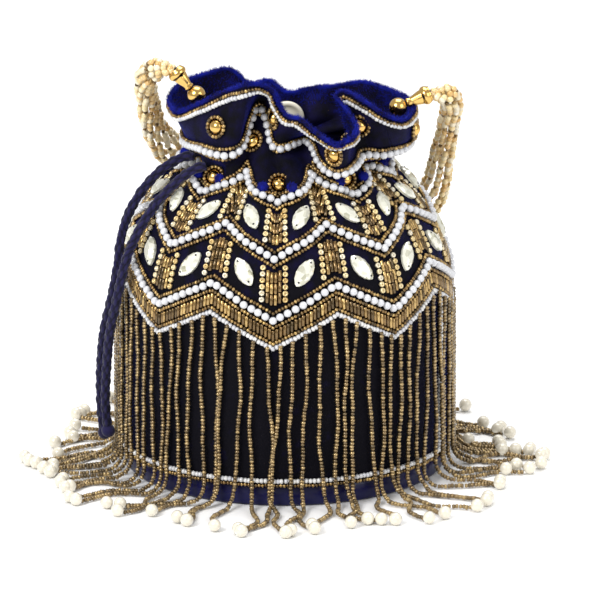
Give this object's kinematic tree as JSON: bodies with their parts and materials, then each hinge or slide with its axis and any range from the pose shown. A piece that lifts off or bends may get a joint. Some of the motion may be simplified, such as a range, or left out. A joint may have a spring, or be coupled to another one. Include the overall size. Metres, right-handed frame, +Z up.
{
  "type": "potli bag",
  "caption": "Round velvet drawstring pouch with a gathered frill, bead embroidery, a beaded pearl fringe and a swinging handle of pearl strands.",
  "frame": {"origin": "centre of the underside of the base, on the surface that the bag stands on", "axes": "+Z up; -Y is the front of the bag, +X is to the right of someone who looks at the front"},
  "size_m": [0.2806, 0.2806, 0.2195],
  "materials": {
    "velvet": "deep blue pile velvet",
    "satin": "royal blue satin, glossy",
    "board": "plain stiff grey board",
    "pearl": "white pearl lustre",
    "gold_bead": "antique gold glass seed beads",
    "white_bead": "opaque white glass beads",
    "stone": "foil-backed faceted stone",
    "gold_metal": "polished gold plating",
    "handle_bead": "cream pearls with gold tints",
    "cord": "braided cotton cord, matt",
    "stud": "off-white plastic",
    "thread": "sewing thread"
  },
  "bodies": {
    "bag": {"back_border": "white_bead", "base_board": "board", "bugle_band": "gold_bead", "cone_cap_left": "gold_metal", "cone_cap_right": "gold_metal", "drawstring_inner": "cord", "drawstring_outer": "cord", "frill_edge_trim": "white_bead", "frill_pearl_trim": "pearl", "fringe_1": "gold_bead", "fringe_2": "gold_bead", "fringe_3": "gold_bead", "fringe_4": "gold_bead", "fringe_5": "gold_bead", "fringe_6": "gold_bead", "fringe_7": "gold_bead", "fringe_8": "gold_bead", "front_border": "white_bead", "gold_ball_left": "gold_metal", "gold_ball_right": "gold_metal", "handle_tie_left": "thread", "handle_tie_right": "thread", "pearl_row_a": "pearl", "pearl_row_b": "pearl", "pearl_row_c": "pearl", "press_stud_back": "stud", "press_stud_front": "stud", "satin_base": "satin", "stone_01": "stone", "stone_02": "stone", "stone_03": "stone", "stone_04": "stone", "stone_05": "stone", "stone_06": "stone", "stone_07": "stone", "stone_08": "stone", "stone_09": "stone", "stone_10": "stone", "stone_11": "stone", "stone_12": "stone", "stone_13": "stone", "stone_14": "stone", "stone_15": "stone", "stone_16": "stone", "velvet_back": "velvet", "velvet_front": "velvet", "white_row": "white_bead"},
    "handle": {"handle_strand_1": "handle_bead", "handle_strand_2": "handle_bead", "handle_strand_3": "handle_bead", "handle_strand_4": "handle_bead", "handle_strand_5": "handle_bead", "handle_strand_6": "handle_bead", "handle_strand_7": "handle_bead", "handle_strand_8": "handle_bead", "gather_knot_left": "thread", "gather_knot_right": "thread"}
  },
  "joints": [
    {"name": "handle_swing", "type": "hinge", "parent": "bag", "child": "handle", "pos_m": [-0.057, -0.012, 0.2136], "axis": [0.9932, 0.0451, -0.1076], "range_deg": [0, 200]}
  ]
}
